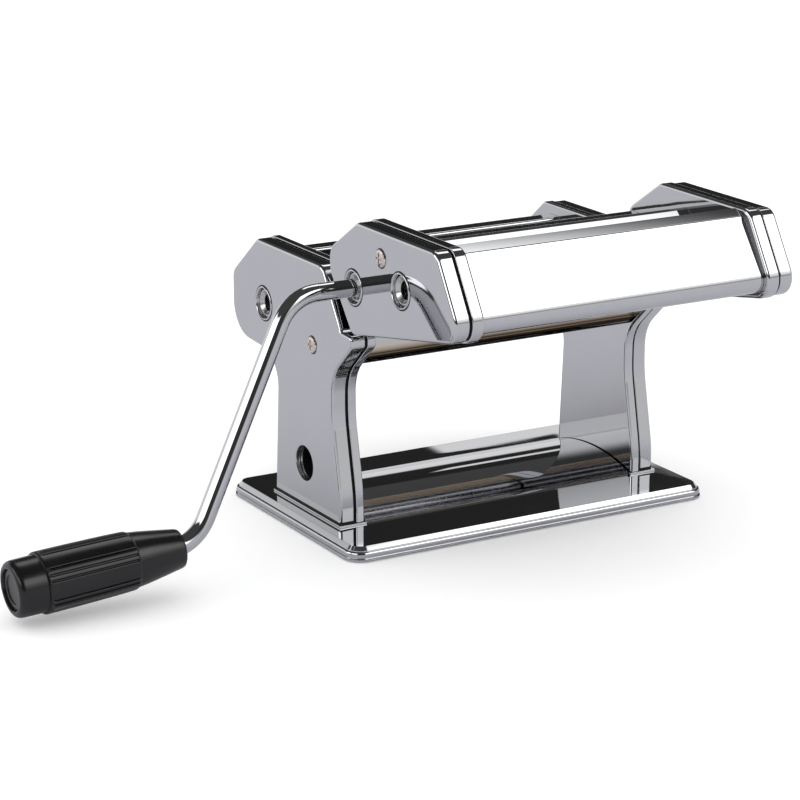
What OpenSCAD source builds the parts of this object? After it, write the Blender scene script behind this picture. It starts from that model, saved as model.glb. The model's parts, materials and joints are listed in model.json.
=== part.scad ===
// Hand-cranked dough sheeter with a clip-on double noodle cutter.
// Millimetres. +X runs along the rollers, away from the crank; -Y is the cutter side; +Z is up.
// The origin is the centre of the base's underside. Outlines are lists of [y, z, corner radius].

/* [Base] */
// Length of the base, along the rollers
base_l = 200; // [196:1:204]
// Depth of the base, front to back
base_d = 126; // [122:1:130]
// Height of the base plate
base_h = 7; // [6.5:0.1:7.5]
// Corner radius of the base
base_r = 9; // [8:0.5:10]
// Height of the arched tray over the base plate
arch_h = 6.5; // [5:0.5:7]

/* [Stands] */
// Outer face of each stand, from the middle
stand_x = 89.1; // [88.5:0.1:90]
// Inner face of each stand, from the middle
stand_in_x = 75.9; // [75.5:0.1:76.1]
// Depth of the outer shell, from its face to the seam
seam_depth = 7.5; // [7:0.1:8]
// Thickness of the pressed sheet
sheet_t = 1.1; // [1:0.1:1.3]
// Radius of the clamp hole in the crank-side leg
clamp_r = 8.5; // [7:0.5:9]

/* [Sheeting rollers] */
// Radius of the two smooth rollers
roller_r = 13.5; // [13:0.1:13.5]
// Distance between the two roller axes at the closest setting
roller_pitch = 27.2; // [27.2:0.1:27.6]
// How far the front roller can open
gap_travel = 2.8; // [2:0.1:3]
// Length of every roller
roller_l = 150.4; // [149:0.1:150.6]

/* [Cutter] */
// Outer face of the cutter's end caps, from the middle
cutter_x = 90.4; // [90:0.1:91]
// Inner face of the cutter's end caps, from the middle
cutter_in_x = 75.5; // [75.4:0.1:76]
// Tilt of the cutter unit, front edge up
cutter_tilt = 10; // [8:0.5:12]
// Distance between the axes of one cutting pair
cut_pitch = 20; // [20:0.1:20.2]
// Distance between the two cranked axes
pair_pitch = 43.2; // [42.5:0.1:43.5]
// Outer radius of the cutting discs
disc_r = 10.4; // [10.2:0.1:10.4]
// Radius at the bottom of the cutting grooves
groove_r = 9.2; // [8.5:0.1:9.2]

/* [Crank] */
// Diameter of the crank rod
rod_d = 8.4; // [8:0.1:8.4]
// Turn of the crank at rest, from straight down towards the front
crank_turn = 5; // [0:1:20]
// Distance from the cutter's end cap to the first bend
crank_out = 32.3; // [30:0.1:36]
// How far the slanted arm reaches outwards
arm_out = 53.8; // [45:0.1:56]
// How far the slanted arm reaches down
arm_drop = 105.5; // [100:0.1:106]
// Droop of the grip's axis below the rollers' direction
grip_droop = 3.6; // [0:0.1:5]
// Length of the grip
grip_l = 81.5; // [75:0.5:85]
// Largest radius of the grip
grip_r = 14; // [13:0.1:14]

/* [Hidden] */
$fn = 96;

chrome = [0.80, 0.80, 0.83];
steel = [0.66, 0.67, 0.69];
bronze = [0.72, 0.58, 0.44];
black = [0.08, 0.08, 0.09];
rubber = [0.15, 0.15, 0.16];
nylon = [0.90, 0.90, 0.87];

fit = 0.06;             // radial clearance of a running fit
seam_gap = 1.1;         // groove between outer and inner shells
rim_step = 0.6;         // inner shells stand this far proud of the outer ones
collar_l = 2.6;         // inner shell's collar inside the outer shell
cover_gap = 0.1;        // covers stop this far short of the shells
big = 400;

// ---- Outlines ------------------------------------------------------------------------------

stand_outline = [
    [-31, base_h + 1, 0], [34.5, base_h + 1, 0], [30.6, 75.6, 16], [78, 78.3, 17],
    [78, 109, 7], [51.5, 130, 5], [-14, 130, 5], [-32, 102.5, 3], [-42.5, 102, 2.7],
    [-42.5, 96.5, 2.7], [-23.4, 79, 20], [-23.4, 58, 60], [-31, 20, 60]];

cutter_outline = [
    [-142.2, 121.4, 9], [-45, 103.8, 5], [-24, 130.3, 12], [-24, 141, 8.5],
    [-50.3, 157.8, 7], [-120, 157.8, 7]];

drive_at = [44.2, 99.3];
idle_at = drive_at - [roller_pitch, 0];
forward = [-cos(cutter_tilt), sin(cutter_tilt)];
narrow_at = [-47.4, 126.9];
narrow_idle_at = narrow_at + cut_pitch * forward;
wide_at = narrow_at + pair_pitch * forward;
wide_idle_at = wide_at + cut_pitch * forward;
clamp_at = [4.2, 29.2];
frame_ties = [[-5, 90], [66, 96], [-8, 112]];
cutter_tie_at = [-72.6, 145.6];
slide_dir = [19, 28] / norm([19, 28]);      // the head's front edge, along which the cutter lifts off

// ---- Geometry helpers ----------------------------------------------------------------------

function unit(v) = v / norm(v);
function yz(c) = [c[0], c[1]];
function wrap(a) = a > 180 ? a - 360 : a < -180 ? a + 360 : a;
function angle_of(v) = atan2(v[1], v[0]);

// Points of the arc that rounds the corner q between p and s
function corner_arc(p, q, s, r) = let(
    u = unit(p - q), v = unit(s - q), half = acos(u * v) / 2,
    c = q + unit(u + v) * r / sin(half), reach = r / tan(half),
    from = angle_of(q + u * reach - c), sweep = wrap(angle_of(q + v * reach - c) - from),
    steps = max(2, ceil(abs(sweep) / 7.5), ceil(abs(sweep) * r / 150)))
    [for (i = [0:steps]) c + r * [cos(from + sweep * i / steps), sin(from + sweep * i / steps)]];

// Closed outline with rounded corners
function rounded(cs) = [for (i = [0:len(cs) - 1]) let(
    q = cs[i], p = cs[(i + len(cs) - 1) % len(cs)], s = cs[(i + 1) % len(cs)])
    each (q[2] > 0.05 ? corner_arc(yz(p), yz(q), yz(s), q[2]) : [yz(q)])];

// Open path with rounded bends
function bent(cs) = [for (i = [0:len(cs) - 1])
    each (i > 0 && i < len(cs) - 1 && cs[i][2] > 0.05
        ? corner_arc(yz(cs[i - 1]), yz(cs[i]), yz(cs[i + 1]), cs[i][2]) : [yz(cs[i])])];

// Corners of an anticlockwise outline, moved inwards by d
function inset(cs, d) = [for (i = [0:len(cs) - 1]) let(
    q = yz(cs[i]), p = yz(cs[(i + len(cs) - 1) % len(cs)]), s = yz(cs[(i + 1) % len(cs)]),
    a = unit(q - p), b = unit(s - q), na = [-a[1], a[0]], nb = [-b[1], b[0]],
    convex = a[0] * b[1] - a[1] * b[0] > 0, move = d * (na + nb) / (1 + na * nb))
    [q[0] + move[0], q[1] + move[1], max(cs[i][2] + (convex ? -d : d), 0)]];

// Normal to the left of an open path, at point i
function path_normal(ps, i) = let(
    a = unit(ps[max(i, 1)] - ps[max(i, 1) - 1]),
    b = unit(ps[min(i + 1, len(ps) - 1)] - ps[min(i + 1, len(ps) - 1) - 1]),
    m = [-a[1] - b[1], a[0] + b[0]]) m / (m * m) * 2;

// Draws a y-z shape as a slab from x0 to x1
module slab(x0, x1) {
    translate([x0, 0, 0]) rotate([90, 0, 90]) linear_extrude(x1 - x0) children();
}

// Sheet of thickness t to the left of a path, between the two ends
module bent_sheet(cs, t, half_l) {
    ps = bent(cs);
    inner = [for (i = [len(ps) - 1:-1:0]) ps[i] + t * path_normal(ps, i)];
    slab(-half_l, half_l) polygon(concat(ps, inner));
}

// Cylinder along X about a y-z point
module bar(at, r, x0, x1) {
    translate([x0, at[0], at[1]]) rotate([0, 90, 0]) cylinder(r = r, h = x1 - x0);
}

// Turned part along X about a y-z point, from [radius, x] points
module turned(at, profile) {
    translate([0, at[0], at[1]]) rotate([0, 90, 0]) rotate_extrude() polygon(profile);
}

module both_ends() {
    children();
    mirror([1, 0, 0]) children();
}

// ---- Shells --------------------------------------------------------------------------------

// Pressed cup with its face at x0 and its rim at x1; the face is sheet_t thick
module cup(cs, x0, x1) {
    face_in = x0 < x1 ? x0 + sheet_t : x0 - sheet_t;
    difference() {
        slab(min(x0, x1), max(x0, x1)) polygon(rounded(cs));
        slab(min(face_in, x1 + sign(x1 - x0)), max(face_in, x1 + sign(x1 - x0)))
            polygon(rounded(inset(cs, sheet_t)));
    }
}

// Outer shell on the crank side (face at -x)
module outer_shell(cs, x) {
    cup(cs, -x, -x + seam_depth);
}

// Outline of an inner shell; its foot stays on the gasket
function grown(cs) = [for (c = inset(cs, -rim_step)) [c[0], max(c[1], base_h + 1), c[2]]];

// Inner shell on the crank side (face at -x_in) with a collar that fits in the outer shell
module inner_shell(cs, x, x_in) {
    rim = -x + seam_depth + seam_gap;
    cup(grown(cs), -x_in, rim);
    difference() {
        union() {
            slab(rim - seam_gap - collar_l, rim + sheet_t) polygon(rounded(inset(cs, sheet_t + 0.05)));
            slab(rim, rim + sheet_t) polygon(rounded(inset(cs, 0.2)));
        }
        slab(rim - big, rim + big) polygon(rounded(inset(cs, 2 * sheet_t)));
    }
}

// Phillips screw with its head outside a face at x, pointing along -x (mirrored for the far side)
module face_screw(at, x, r, shank) {
    difference() {
        union() {
            turned(at, [[0, x - 1.3], [r * 0.6, x - 1.2], [r * 0.9, x - 0.7], [r, x], [0, x]]);
            bar(at, 1.9, x - 0.1, x + shank);
        }
        for (a = [0, 90]) translate([x - 1.5, at[0], at[1]]) rotate([a, 0, 0])
            translate([0, -r * 0.62, -0.45]) cube([1.1, r * 1.24, 0.9]);
    }
}

// ---- Base ----------------------------------------------------------------------------------

rim_z = 0.4;            // lowest edge of the base plate; the pad reaches z = 0
bead_r = 1.7;
plate_profile = concat(
    [[0, rim_z], [base_r, rim_z], [base_r, 1.1]],
    [for (a = [-70:20:70]) [base_r - 1.1 + 0.8 * cos(a), 2.9 + bead_r * sin(a)]],
    [[base_r - 1.7, 4.7], [base_r - 1.7, 5.1], [base_r - 3.2, base_h], [0, base_h]]);
arch_r = 106;
arch_mid = 3.25;
arch_top = base_h + arch_h;
pad_h = 5.4;
screw_spots = [for (x = [-83, 83], y = [-20, 22]) [x, y]];

module rounded_block(w, d, r, z0, z1) {
    translate([0, 0, z0]) linear_extrude(z1 - z0) polygon(rounded([
        [-w / 2, -d / 2, r], [w / 2, -d / 2, r], [w / 2, d / 2, r], [-w / 2, d / 2, r]]));
}

// Slab whose edge follows a profile all round
module profiled_slab(w, d, r, profile) {
    cx = w / 2 - r;
    cy = d / 2 - r;
    for (i = [0:3]) {
        sx = i == 0 || i == 3 ? 1 : -1;
        sy = i < 2 ? 1 : -1;
        translate([sx * cx, sy * cy, 0]) rotate([0, 0, 90 * i])
            rotate_extrude(angle = 90) polygon(profile);
    }
    for (s = [0, 1]) rotate([0, 0, 180 * s]) {
        translate([cx, cy, 0]) rotate([90, 0, 0]) linear_extrude(2 * cy) polygon(profile);
        translate([-cx, cy, 0]) rotate([90, 0, 90]) linear_extrude(2 * cx) polygon(profile);
    }
    translate([-cx, -cy, rim_z]) cube([2 * cx, 2 * cy, base_h - rim_z]);
}

// Lens of the arched tray, up to radius r
module arch(r, half_l) {
    intersection() {
        bar([arch_mid, arch_top - arch_r], r, -half_l, half_l);
        translate([-half_l, -60, base_h - 1]) cube([2 * half_l, 120, 20]);
    }
}

module base_plate() color(chrome) difference() {
    union() {
        profiled_slab(base_l, base_d, base_r, plate_profile);
        arch(arch_r, stand_in_x - 0.8);
    }
    rounded_block(base_l - 8, base_d - 8, 5, -1, base_h - 1.3);
    arch(arch_r - 1.3, stand_in_x - 2.1);
    for (p = screw_spots) translate([p[0], p[1], 0]) cylinder(r = 2.1, h = 20);
}

module base_pad() color(rubber) difference() {
    rounded_block(base_l - 8.4, base_d - 8.4, 4.8, 0, pad_h);
    for (p = screw_spots) translate([p[0], p[1], 1.6]) cylinder(r = 5, h = 10);
}

module base_screws() color(steel) for (p = screw_spots) translate([p[0], p[1], 0]) {
    translate([0, 0, 3.2]) cylinder(r = 3.8, h = base_h - 1.3 - 3.2);
    translate([0, 0, 5]) cylinder(r = 2, h = base_h + 9 - 5);
}

module foot_blocks() color(steel) both_ends() difference() {
    translate([-stand_x + sheet_t + 0.1, -27, base_h + 1.02 + 2 * sheet_t])
        cube([stand_x - stand_in_x - 2 * sheet_t - 0.2, 56, 7]);
    for (p = screw_spots) translate([-abs(p[0]), p[1], 0]) cylinder(r = 2, h = 16);
}

module foot_gaskets() color(chrome) both_ends() difference() {
    translate([-stand_x - 0.7, -32.2, base_h]) cube([stand_x - stand_in_x + 1.4, 67.2, 1]);
    for (p = screw_spots) translate([-abs(p[0]), p[1], 0]) cylinder(r = 2.1, h = 20);
}

// ---- Stands --------------------------------------------------------------------------------

ring_r = 8.4;           // visible rings round the crank sockets
sleeve_r = 7.8;         // the rings' sleeves, through the shells
journal_r = 6.6;        // hollow journals that take the crank
stub_r = 4;             // plain journals
stub_bush_r = 6;
block_h = 14;           // sliding bearing blocks of the front roller
cam_r = 5;              // spindle of the gap cam

// Opening for a sliding bearing block
module block_window(grow) {
    translate([-big / 2, idle_at[0] - gap_travel - block_h / 2 - grow, idle_at[1] - block_h / 2 - grow])
        cube([big, block_h + gap_travel + 2 * grow, block_h + 2 * grow]);
}

module foot_screw_holes() {
    for (p = screw_spots) translate([-abs(p[0]), p[1], 0]) cylinder(r = 2.1, h = 20);
}

module left_outer_shell() color(chrome) difference() {
    outer_shell(stand_outline, stand_x);
    foot_screw_holes();
    bar(drive_at, sleeve_r, -big, 0);
    bar(clamp_at, clamp_r + 0.8, -big, 0);
    bar(frame_ties[0], 2, -big, 0);
}

module left_inner_shell() color(chrome) difference() {
    inner_shell(stand_outline, stand_x, stand_in_x);
    foot_screw_holes();
    bar(drive_at, sleeve_r, -big, 0);
    block_window(0.15);
    for (t = frame_ties) bar(t, 3, -big, 0);
}

module right_outer_shell() color(chrome) mirror([1, 0, 0]) difference() {
    outer_shell(stand_outline, stand_x);
    foot_screw_holes();
    bar(idle_at, cam_r + fit, -big, 0);
    bar(frame_ties[0], 2, -big, 0);
}

module right_inner_shell() color(chrome) mirror([1, 0, 0]) difference() {
    inner_shell(stand_outline, stand_x, stand_in_x);
    foot_screw_holes();
    bar(drive_at, stub_bush_r, -big, 0);
    block_window(0.15);
    for (t = frame_ties) bar(t, 3, -big, 0);
}

module rear_cover() color(chrome)
    bent_sheet([[35.8, 113, 0], [36.4, 125.2, 1.5], [46.5, 125.2, 5], [75, 105.2, 5], [75, 81.2, 12],
                [52, 80, 0]], -1, stand_in_x - cover_gap);

module front_cover() color(chrome)
    bent_sheet([[25.7, 113, 0], [22, 125.2, 3], [-11.5, 125.2, 4], [-29.9, 98.2, 8],
                [-29.9, 83.3, 6.3], [-17, 83.3, 6.3], [-17, 93, 0]], 1, stand_in_x - cover_gap);

module tie_rods() color(steel) {
    difference() {
        bar(frame_ties[0], 3, -stand_x + sheet_t, stand_x - sheet_t);
        both_ends() bar(frame_ties[0], 2, -big, -stand_x + 12);
    }
    for (t = [frame_ties[1], frame_ties[2]]) {
        bar(t, 3, -stand_in_x - 4.6, stand_in_x + 4.6);
        both_ends() translate([-stand_in_x + sheet_t + 0.1, t[0], t[1]]) rotate([0, 90, 0])
            cylinder(r = 5, h = 2.6, $fn = 6);
    }
}

module side_screws() color(bronze) both_ends() face_screw(frame_ties[0], -stand_x, 4.1, 11);

module clamp_sleeve() color(chrome) difference() {
    union() {
        bar(clamp_at, clamp_r + 0.8, -stand_x, -stand_in_x - sheet_t);
        bar(clamp_at, clamp_r + 1.6, -stand_x + sheet_t, -stand_x + sheet_t + 1.5);
    }
    bar(clamp_at, clamp_r, -big, -stand_in_x - sheet_t - 1);
}

// Bush with a low ring outside the end face at x; its mouth narrows towards the journal
module socket_ring(at, x, x_in) {
    turned(at, [[journal_r + fit, x + 1.2], [ring_r - 0.9, x - 0.5], [ring_r - 0.4, x - 0.5],
                [ring_r, x - 0.2], [ring_r, x], [sleeve_r, x], [sleeve_r, x_in],
                [journal_r + fit, x_in]]);
}

module head_socket_ring() color(chrome) socket_ring(drive_at, -stand_x, -stand_in_x);

// Plain bush in an inner shell on the far side
module stub_bush(at, x_in) {
    difference() {
        union() {
            bar(at, stub_bush_r, x_in, x_in + 3.4);
            bar(at, stub_bush_r + 1.2, x_in + sheet_t, x_in + 2.2);
        }
        bar(at, stub_r + fit, x_in - 1, x_in + 9);
    }
}

module head_bush() color(nylon) stub_bush(drive_at, stand_in_x);

// One scraper blade: a bar with a lip that almost touches the roller
module scraper(at, side) {
    tip = at + (roller_r + 0.4) * [side * sin(40), -cos(40)];
    slab(-roller_l / 2, roller_l / 2) polygon([
        tip, tip + [side * 5, -2.2], tip + [side * 5, -3.8], tip + [0, -1.4]]);
    translate([-stand_in_x + cover_gap, tip[0] + side * 5 - 3, tip[1] - 4.6])
        cube([2 * (stand_in_x - cover_gap), 6, 3.2]);
}

module roller_scrapers() color(nylon) {
    scraper(drive_at, 1);
    scraper(idle_at - [gap_travel, 0], -1);
}

// Ring with setting marks behind the knob
module gap_dial() color(black) difference() {
    bar(idle_at, 19.5, stand_x, stand_x + 1.2);
    bar(idle_at, cam_r + fit, stand_x - 1, stand_x + 5);
    for (i = [0:8]) translate([stand_x + 0.8, idle_at[0], idle_at[1]]) rotate([30 * i + 60, 0, 0])
        translate([0, -0.3, 17.4]) cube([1, 0.6, 1.6]);
}

// T-shaped rails that the cutter's brackets slide down
rail_x = 55;
rail_mid = [-22.6, 112.6];
rail_l = 20;
rail_tall = 7.2;        // from the head's front cover to the top of the rail

module along_front_edge(at) {
    translate([0, at[0], at[1]]) rotate([atan2(slide_dir[1], slide_dir[0]), 0, 0]) children();
}

module cutter_rails() color(steel) both_ends() along_front_edge(rail_mid) {
    translate([-rail_x - 1.5, -rail_l / 2, 0.4]) cube([3, rail_l, rail_tall - 2]);
    translate([-rail_x - 4.5, -rail_l / 2, rail_tall - 2]) cube([9, rail_l, 2]);
}

// ---- Sheeting rollers and gap adjustment ---------------------------------------------------

gear_teeth = 20;

// Tooth outline of a gear: flat-sided flanks with a little backlash
function gear_points(pitch_r, teeth, turn) = let(m = 2 * pitch_r / teeth, p = 360 / teeth)
    [for (i = [0:teeth - 1], k = [
        [pitch_r - 1.2 * m, -0.31], [pitch_r, -0.235], [pitch_r + 0.9 * m, -0.12],
        [pitch_r + 0.9 * m, 0.12], [pitch_r, 0.235], [pitch_r - 1.2 * m, 0.31]])
        k[0] * [cos(turn + p * (i + k[1])), sin(turn + p * (i + k[1]))]];

module gear(at, pitch_r, bore_r, turn, x0, x1) {
    difference() {
        translate([0, at[0], at[1]]) slab(x0, x1) polygon(gear_points(pitch_r, gear_teeth, turn));
        bar(at, bore_r, x0 - 1, x1 + 1);
    }
}

socket_r = rod_d / 2 + fit;
socket_depth = 16;
tongue_l = 6;
tongue_t = 3;

// Socket for the crank: countersunk bore with a slot at its bottom
module crank_socket(at, mouth_x) {
    bar(at, socket_r, mouth_x - 1, mouth_x + socket_depth);
    turned(at, [[0, mouth_x - 0.1], [socket_r + 1.7, mouth_x - 0.1], [socket_r, mouth_x + 1.6],
                [0, mouth_x + 1.6]]);
    translate([mouth_x + socket_depth - 1, at[0], at[1]])
        translate([0, -rod_d / 2, -tongue_t / 2 - 0.1]) cube([tongue_l + 2, rod_d, tongue_t + 0.2]);
}

half_roller = roller_l / 2;
journal_end = stand_x - 1;
gear_x = [80.2, 84.4];
shaft_end = 84.9;

// Driven roller: hollow journal on the crank side, stub on the far side
module driven_roller(at, body, mouth, far_end) {
    difference() {
        turned(at, concat([[0, mouth], [journal_r, mouth], [journal_r, -half_roller]], body,
                          [[stub_r, half_roller], [stub_r, far_end], [0, far_end]]));
        crank_socket(at, mouth);
    }
}

module free_roller(at, body, near_end, far_end) {
    turned(at, concat([[0, near_end], [stub_r, near_end], [stub_r, -half_roller]], body,
                      [[stub_r, half_roller], [stub_r, far_end], [0, far_end]]));
}

smooth_body = [[roller_r - 0.6, -half_roller], [roller_r, -half_roller + 0.6],
               [roller_r, half_roller - 0.6], [roller_r - 0.6, half_roller]];

module drive_roller() color(steel) driven_roller(drive_at, smooth_body, -journal_end, shaft_end);
module drive_gear() color(steel) gear(drive_at, roller_pitch / 2, stub_r, 0, gear_x[0], gear_x[1]);
module idle_roller() color(steel) free_roller(idle_at, smooth_body, -80.5, shaft_end + 1.6);
module idle_gear() color(steel)
    gear(idle_at, roller_pitch / 2, stub_r, 180 / gear_teeth, gear_x[0], gear_x[1]);

module bearing_blocks() color(nylon) both_ends() difference() {
    union() {
        translate([-stand_in_x - 3.5, idle_at[0] - block_h / 2, idle_at[1] - block_h / 2])
            cube([3.5, block_h, block_h]);
        translate([-stand_in_x - 3.5, idle_at[0] - block_h / 2, idle_at[1] - block_h / 2 - 1.5])
            cube([3.5 - sheet_t - 0.1, block_h, block_h + 3]);
    }
    bar(idle_at, stub_r + fit, -big, 0);
}

// Cup on the end of the knob's spindle; the roller's end lies in it
module gap_cam() color(steel) difference() {
    union() {
        bar(idle_at, 8.6, gear_x[1] + 0.5, stand_x - sheet_t - 0.1);
        bar(idle_at, cam_r, stand_x - 2, stand_x + 14);
    }
    bar(idle_at, stub_r + gap_travel + 0.3, 80, shaft_end + 1.8);
}

knob_grooves = 18;
module gap_knob() color(black) difference() {
    turned(idle_at, [[0, stand_x + 19], [12.5, stand_x + 19], [14, stand_x + 17.5], [15, stand_x + 6],
                     [16.6, stand_x + 3.4], [16.6, stand_x + 1.5], [0, stand_x + 1.5]]);
    bar(idle_at, cam_r, stand_x, stand_x + 14);
    for (i = [1:knob_grooves - 1]) translate([0, idle_at[0], idle_at[1]])
        rotate([i * 360 / knob_grooves, 0, 0]) translate([stand_x + 5, -0.8, 14])
            cube([20, 1.6, 4]);
}

// ---- Cutter --------------------------------------------------------------------------------

cutter_mouth = -cutter_x + 1;
cutter_gear_x = [80.2, 86];
cutter_shaft_end = 86.6;

module cutter_left_outer_cap() color(chrome) difference() {
    outer_shell(cutter_outline, cutter_x);
    for (at = [narrow_at, wide_at]) bar(at, sleeve_r, -big, 0);
    bar(cutter_tie_at, 2, -big, 0);
}

module cutter_left_inner_cap() color(chrome) difference() {
    inner_shell(cutter_outline, cutter_x, cutter_in_x);
    for (at = [narrow_at, wide_at]) bar(at, sleeve_r, -big, 0);
    for (at = [narrow_idle_at, wide_idle_at]) bar(at, stub_bush_r, -big, 0);
    bar(cutter_tie_at, 3, -big, 0);
}

module cutter_right_outer_cap() color(chrome) mirror([1, 0, 0]) difference() {
    outer_shell(cutter_outline, cutter_x);
    bar(cutter_tie_at, 2, -big, 0);
}

module cutter_right_inner_cap() color(chrome) mirror([1, 0, 0]) difference() {
    inner_shell(cutter_outline, cutter_x, cutter_in_x);
    for (at = [narrow_at, narrow_idle_at, wide_at, wide_idle_at]) bar(at, stub_bush_r, -big, 0);
    bar(cutter_tie_at, 3, -big, 0);
}

cover_line = inset(cutter_outline, 2.2);

module cutter_front_cover() color(chrome)
    bent_sheet([[-110.4, 157.6, 0], [-117.2, 155.15, 1.2], [cover_line[0][0], cover_line[0][1], 6.8],
                [-117, cover_line[0][1] - (-117 - cover_line[0][0]) * 0.181, 0]],
               1, cutter_in_x - cover_gap);

module cutter_rear_cover() color(chrome)
    bent_sheet([[-52.5, cover_line[1][1] + (cover_line[1][0] + 52.5) * 0.181, 0],
                [cover_line[1][0], cover_line[1][1], 3.2],
                [cover_line[2][0], cover_line[2][1], 9.8], [cover_line[3][0], 141, 2.6],
                [-49.5, 139.6, 0]], 1, cutter_in_x - cover_gap);

// Roof-shaped strip between the two feed slots
module cutter_divider() color(chrome)
    bent_sheet([[-63.6, 142.4, 0], [-69.5, 150.4, 1.4], [-73, 149.9, 1.4], [-84.5, 145.2, 0]],
               1, cutter_in_x - cover_gap);

module cutter_tie_rod() color(steel) difference() {
    bar(cutter_tie_at, 3, -cutter_x + sheet_t, cutter_x - sheet_t);
    both_ends() bar(cutter_tie_at, 2, -big, -cutter_x + 12);
}

module cutter_screws() color(bronze) both_ends() face_screw(cutter_tie_at, -cutter_x, 4.3, 11);

narrow_pitch = 4;
wide_pitch = 13;
disc_side_gap = 0.2;

// Middle of every disc of one cutting roller; shift is 0 or half a pitch
function disc_spots(pitch, shift) = [for (x = [-half_roller + pitch * 0.75 + shift :
    pitch : half_roller - pitch * 0.3]) x];

function disc_body(pitch, shift) = let(w = pitch / 4 - disc_side_gap / 2) concat(
    [[groove_r, -half_roller]],
    [for (x = disc_spots(pitch, shift))
        each [[groove_r, x - w], [disc_r, x - w], [disc_r, x + w], [groove_r, x + w]]],
    [[groove_r, half_roller]]);

module narrow_drive_roller() color(steel)
    driven_roller(narrow_at, disc_body(narrow_pitch, 0), cutter_mouth, cutter_shaft_end);
module narrow_idle_roller() color(steel)
    free_roller(narrow_idle_at, disc_body(narrow_pitch, -narrow_pitch / 2), -79.5, cutter_shaft_end);
module wide_drive_roller() color(steel)
    driven_roller(wide_at, disc_body(wide_pitch, 0), cutter_mouth, cutter_shaft_end);
module wide_idle_roller() color(steel)
    free_roller(wide_idle_at, disc_body(wide_pitch, -wide_pitch / 2), -79.5, cutter_shaft_end);

module cutter_gear(at, turn)
    gear(at, cut_pitch / 2, stub_r, turn - cutter_tilt, cutter_gear_x[0], cutter_gear_x[1]);
module narrow_drive_gear() color(steel) cutter_gear(narrow_at, 0);
module narrow_idle_gear() color(steel) cutter_gear(narrow_idle_at, 180 / gear_teeth);
module wide_drive_gear() color(steel) cutter_gear(wide_at, 0);
module wide_idle_gear() color(steel) cutter_gear(wide_idle_at, 180 / gear_teeth);

// Stripper comb under a cutting roller: a bar with a tooth in every groove
module comb(at, side, pitch, shift) {
    tooth_w = pitch / 2 - 1;
    translate([0, at[0], at[1]]) rotate([-cutter_tilt, 0, 0]) {
        slab(-cutter_in_x + cover_gap, cutter_in_x - cover_gap) polygon([
            for (q = [[-3.5, -12.8], [1.5, -12.8], [1.5, -16.5], [-3.5, -16.5]]) [side * q[0], q[1]]]);
        for (x = disc_spots(pitch, shift)) if (abs(x) < half_roller - pitch / 4)
            slab(x - tooth_w / 2, x + tooth_w / 2) polygon([
                for (q = [[-5.45, -7.78], [1.5, -12.81], [-3.4, -12.81]]) [side * q[0], q[1]]]);
    }
}

module cutter_combs() color(nylon) {
    comb(narrow_at, 1, narrow_pitch, -narrow_pitch / 2);
    comb(narrow_idle_at, -1, narrow_pitch, 0);
    comb(wide_at, 1, wide_pitch, -wide_pitch / 2);
    comb(wide_idle_at, -1, wide_pitch, 0);
}

module cutter_socket_rings() color(chrome) for (at = [narrow_at, wide_at])
    socket_ring(at, -cutter_x, -cutter_in_x);

module cutter_bushes() color(nylon) {
    for (at = [narrow_at, narrow_idle_at, wide_at, wide_idle_at]) stub_bush(at, cutter_in_x);
    for (at = [narrow_idle_at, wide_idle_at]) mirror([1, 0, 0]) stub_bush(at, cutter_in_x);
}

// Channels on the cutter's rear cover that slide over the head's rails
module cutter_brackets() color(steel) both_ends() along_front_edge(rail_mid) difference() {
    translate([-rail_x - 7, -rail_l / 2, rail_tall - 4]) cube([14, rail_l, 9]);
    translate([-rail_x - 4.8, -rail_l, rail_tall - 2.3]) cube([9.6, 2 * rail_l, 2.6]);
    translate([-rail_x - 1.8, -rail_l, rail_tall - 6]) cube([3.6, 2 * rail_l, 6]);
}

// ---- Crank ---------------------------------------------------------------------------------

bend_r = 22;
crank_in = cutter_mouth + socket_depth - 1.2;           // end of the round part inside the socket
crank_path = [[crank_in, 0], [-cutter_x - crank_out, 0],
              [-cutter_x - crank_out - arm_out, -arm_drop]];
grip_dir = [-cos(grip_droop), -sin(grip_droop)];
grip_start = 8;                                         // from the second bend's corner to the grip
rod_end = crank_path[2] + grip_dir * (grip_start + grip_l - 7);

// How much the rod turns at q
function arm_turn(p, q, s) = acos(unit(q - p) * unit(s - q));

module in_crank_plane() {
    translate([0, narrow_at[0], narrow_at[1]]) rotate([-crank_turn, 0, 0]) children();
}

// Straight stretch of rod between two x-z points
module rod(p, q) {
    translate([p[0], 0, p[1]]) rotate([0, atan2(q[0] - p[0], q[1] - p[1]), 0])
        cylinder(r = rod_d / 2, h = norm(q - p));
}

// Round bar of radius r swept along a list of x-z points
module swept_rod(ps, r, sides = 48) {
    n = len(ps);
    points = [for (i = [0:n - 1], j = [0:sides - 1]) let(
        m = path_normal(ps, i) * r * cos(360 * j / sides))
        [ps[i][0] + m[0], r * sin(360 * j / sides), ps[i][1] + m[1]]];
    walls = [for (i = [0:n - 2], j = [0:sides - 1]) let(k = (j + 1) % sides)
        [i * sides + j, i * sides + k, (i + 1) * sides + k, (i + 1) * sides + j]];
    polyhedron(points, concat(walls, [[for (j = [sides - 1:-1:0]) j]],
                              [[for (j = [0:sides - 1]) (n - 1) * sides + j]]), convexity = 4);
}

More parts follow.
